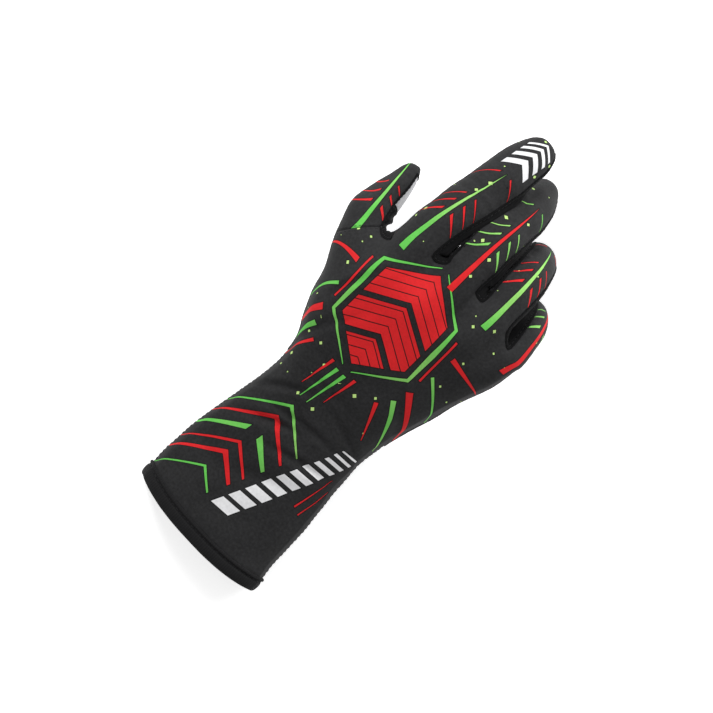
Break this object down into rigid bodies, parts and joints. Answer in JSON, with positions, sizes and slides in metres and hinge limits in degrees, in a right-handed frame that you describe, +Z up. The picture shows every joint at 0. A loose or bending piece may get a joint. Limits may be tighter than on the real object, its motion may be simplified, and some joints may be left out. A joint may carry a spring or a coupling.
{
  "type": "driving glove",
  "caption": "Long-cuffed right-hand racing glove with a printed cloth back, a pale suede palm, black side strips between the fingers and a bound hem, lying palm down.",
  "frame": {"origin": "centre of the glove's footprint on the table it lies on", "axes": "+Y from the cuff to the fingertips, +Z up out of the back of the hand, +X towards the little finger"},
  "size_m": [0.1266, 0.2848, 0.0711],
  "materials": {
    "printed_cloth": "black knitted cloth, printed in green, red and white",
    "plain_cloth": "black knitted cloth",
    "suede": "pale grey suede",
    "stretch_cloth": "matt black stretch cloth",
    "elastic_binding": "matt black ribbed binding"
  },
  "bodies": {
    "root": {"back_panel": "printed_cloth", "cuff_underside": "plain_cloth", "palm_panel": "suede", "thumb_back": "printed_cloth", "thumb_palm": "suede", "thumb_gusset": "stretch_cloth", "side_strip_index_middle": "stretch_cloth", "side_strip_middle_ring": "stretch_cloth", "side_strip_ring_little": "stretch_cloth", "cuff_binding": "elastic_binding"}
  },
  "joints": []
}
